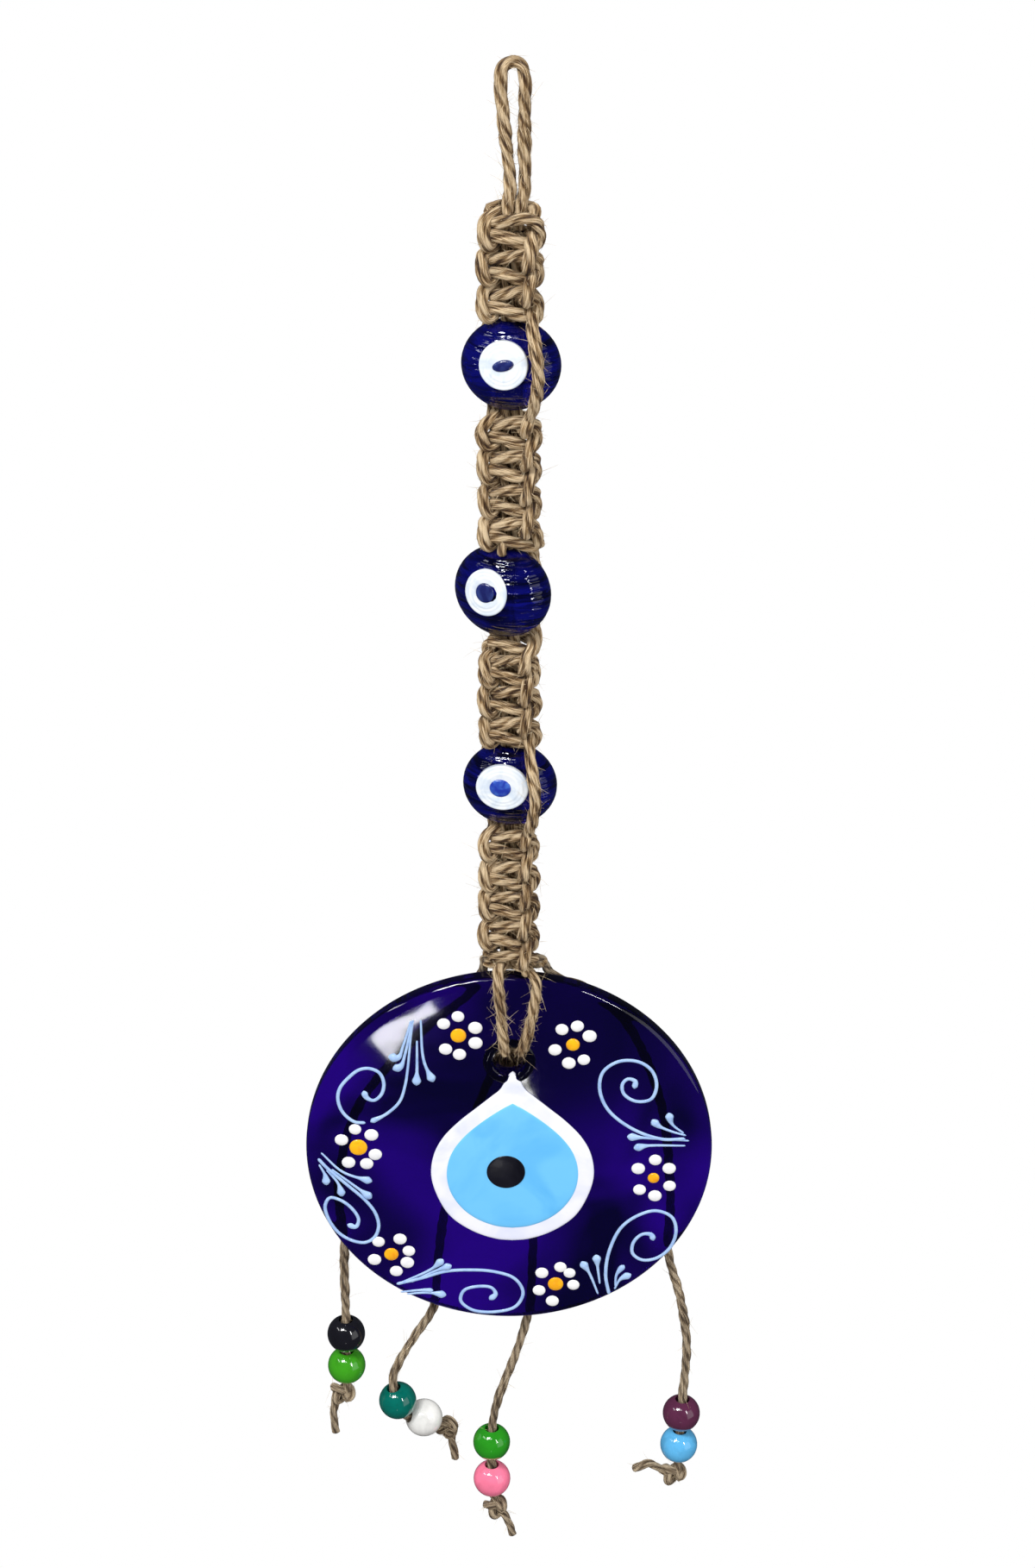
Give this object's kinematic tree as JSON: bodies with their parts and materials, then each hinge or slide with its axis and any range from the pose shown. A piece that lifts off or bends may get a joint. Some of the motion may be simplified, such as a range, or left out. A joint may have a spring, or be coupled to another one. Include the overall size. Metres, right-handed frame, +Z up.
{
  "type": "macrame wall hanging with eye beads",
  "caption": "Knotted jute strap with glass eye beads, holding a painted blue glass eye disc through its hole, with beaded cords hanging below it.",
  "frame": {"origin": "inside top of the hanging loop, where a nail bears", "axes": "+Z up along the strap, the painted front faces -Y, +X to the viewer's right"},
  "size_m": [0.105, 0.0232, 0.4144],
  "materials": {
    "jute": "rough",
    "cobalt_glass": "glossy",
    "indigo_glass": "glossy",
    "eye_white": "glossy",
    "eye_light_blue": "glossy",
    "eye_dark_blue": "glossy",
    "eye_black": "glossy",
    "bead_black": "glossy",
    "bead_green": "glossy",
    "bead_teal": "glossy",
    "bead_white": "glossy",
    "bead_pink": "glossy",
    "bead_maroon": "glossy",
    "bead_sky_blue": "glossy"
  },
  "bodies": {
    "strap": {"hanging_loop": "jute", "core_cord_left": "jute", "core_cord_right": "jute", "sinnet_1": "jute", "sinnet_2": "jute", "sinnet_3": "jute", "sinnet_4": "jute", "side_cord_1_front": "jute", "side_cord_1_back": "jute", "side_cord_2_left": "jute", "side_cord_2_right": "jute", "side_cord_3_front": "jute", "side_cord_3_back": "jute"},
    "eye_bead_1_body": {"eye_bead_1": "cobalt_glass", "eye_bead_1_iris": "eye_white", "eye_bead_1_pupil": "eye_dark_blue"},
    "eye_bead_2_body": {"eye_bead_2": "cobalt_glass", "eye_bead_2_iris": "eye_white", "eye_bead_2_pupil": "eye_dark_blue"},
    "eye_bead_3_body": {"eye_bead_3": "cobalt_glass", "eye_bead_3_iris": "eye_white", "eye_bead_3_pupil": "eye_dark_blue"},
    "disc_cords": {"sling_cord_left": "jute", "sling_cord_right": "jute", "back_knot": "jute", "pendant_1_back_cord": "jute", "pendant_2_back_cord": "jute", "pendant_3_back_cord": "jute", "pendant_4_back_cord": "jute"},
    "disc": {"glass_disc": "indigo_glass", "disc_eye_white": "eye_white", "disc_eye_blue": "eye_light_blue", "disc_eye_pupil": "eye_black"},
    "pendant_1": {"pendant_1_cord": "jute", "pendant_1_knot": "jute"},
    "pendant_1_upper": {"pendant_1_upper_bead": "bead_black"},
    "pendant_1_lower": {"pendant_1_lower_bead": "bead_green"},
    "pendant_2": {"pendant_2_cord": "jute", "pendant_2_knot": "jute"},
    "pendant_2_upper": {"pendant_2_upper_bead": "bead_teal"},
    "pendant_2_lower": {"pendant_2_lower_bead": "bead_white"},
    "pendant_3": {"pendant_3_cord": "jute", "pendant_3_knot": "jute"},
    "pendant_3_upper": {"pendant_3_upper_bead": "bead_green"},
    "pendant_3_lower": {"pendant_3_lower_bead": "bead_pink"},
    "pendant_4": {"pendant_4_cord": "jute", "pendant_4_knot": "jute"},
    "pendant_4_upper": {"pendant_4_upper_bead": "bead_maroon"},
    "pendant_4_lower": {"pendant_4_lower_bead": "bead_sky_blue"}
  },
  "joints": [
    {"name": "eye_bead_1_turn", "type": "hinge", "parent": "strap", "child": "eye_bead_1_body", "pos_m": [0, 0, -0.067], "axis": [0, 0, 1], "range_deg": [-7, 7]},
    {"name": "eye_bead_2_turn", "type": "hinge", "parent": "strap", "child": "eye_bead_2_body", "pos_m": [0, 0, -0.1222], "axis": [0, 0, 1], "range_deg": [-7, 7]},
    {"name": "eye_bead_3_turn", "type": "hinge", "parent": "strap", "child": "eye_bead_3_body", "pos_m": [0, 0, -0.1733], "axis": [0, 0, 1], "range_deg": [-7, 7]},
    {"name": "disc_swing", "type": "hinge", "parent": "strap", "child": "disc_cords", "pos_m": [0, 0, -0.2224], "axis": [-1, 0, 0], "range_deg": [-3, 25]},
    {"name": "disc_turn", "type": "hinge", "parent": "disc_cords", "child": "disc", "pos_m": [0, 0, -0.251], "axis": [0, 1, 0], "range_deg": [-7, 7]},
    {"name": "pendant_1_swing", "type": "hinge", "parent": "disc_cords", "child": "pendant_1", "pos_m": [-0.0436, 0.00435, -0.31], "axis": [0, 1, 0], "range_deg": [-7, 6]},
    {"name": "pendant_1_upper_bead_slide", "type": "slide", "parent": "pendant_1", "child": "pendant_1_upper", "axis": [0.0089, 0, 1], "range_m": [0, 0.008]},
    {"name": "pendant_1_lower_bead_spin", "type": "hinge", "parent": "pendant_1", "child": "pendant_1_lower", "pos_m": [-0.04396, 0.00438, -0.35232], "axis": [0.0096, 0, 1], "continuous": true},
    {"name": "pendant_2_swing", "type": "hinge", "parent": "disc_cords", "child": "pendant_2", "pos_m": [-0.0203, 0.00435, -0.333], "axis": [0, 1, 0], "range_deg": [-5, 7]},
    {"name": "pendant_2_upper_bead_slide", "type": "slide", "parent": "pendant_2", "child": "pendant_2_upper", "axis": [-0.2213, -0.0745, 0.9724], "range_m": [0, 0.002]},
    {"name": "pendant_2_lower_bead_spin", "type": "hinge", "parent": "pendant_2", "child": "pendant_2_lower", "pos_m": [-0.02324, 0.00642, -0.37183], "axis": [-0.8518, -0.3157, 0.418], "continuous": true},
    {"name": "pendant_3_swing", "type": "hinge", "parent": "disc_cords", "child": "pendant_3", "pos_m": [0.0053, 0.00435, -0.334], "axis": [0, 1, 0], "range_deg": [-10, 5]},
    {"name": "pendant_3_upper_bead_slide", "type": "slide", "parent": "pendant_3", "child": "pendant_3_upper", "axis": [0.013, 0, 0.9999], "range_m": [0, 0.003]},
    {"name": "pendant_3_lower_bead_spin", "type": "hinge", "parent": "pendant_3", "child": "pendant_3_lower", "pos_m": [-0.00451, 0.00438, -0.39122], "axis": [-0.0101, 0, 0.9999], "continuous": true},
    {"name": "pendant_4_swing", "type": "hinge", "parent": "disc_cords", "child": "pendant_4", "pos_m": [0.0422, 0.00435, -0.314], "axis": [0, 1, 0], "range_deg": [-16, 10]},
    {"name": "pendant_4_upper_bead_slide", "type": "slide", "parent": "pendant_4", "child": "pendant_4_upper", "axis": [0.0369, 0, 0.9993], "range_m": [0, 0.006]},
    {"name": "pendant_4_lower_bead_spin", "type": "hinge", "parent": "pendant_4", "child": "pendant_4_lower", "pos_m": [0.047, 0.00438, -0.37912], "axis": [0.0378, 0, 0.9993], "continuous": true}
  ]
}
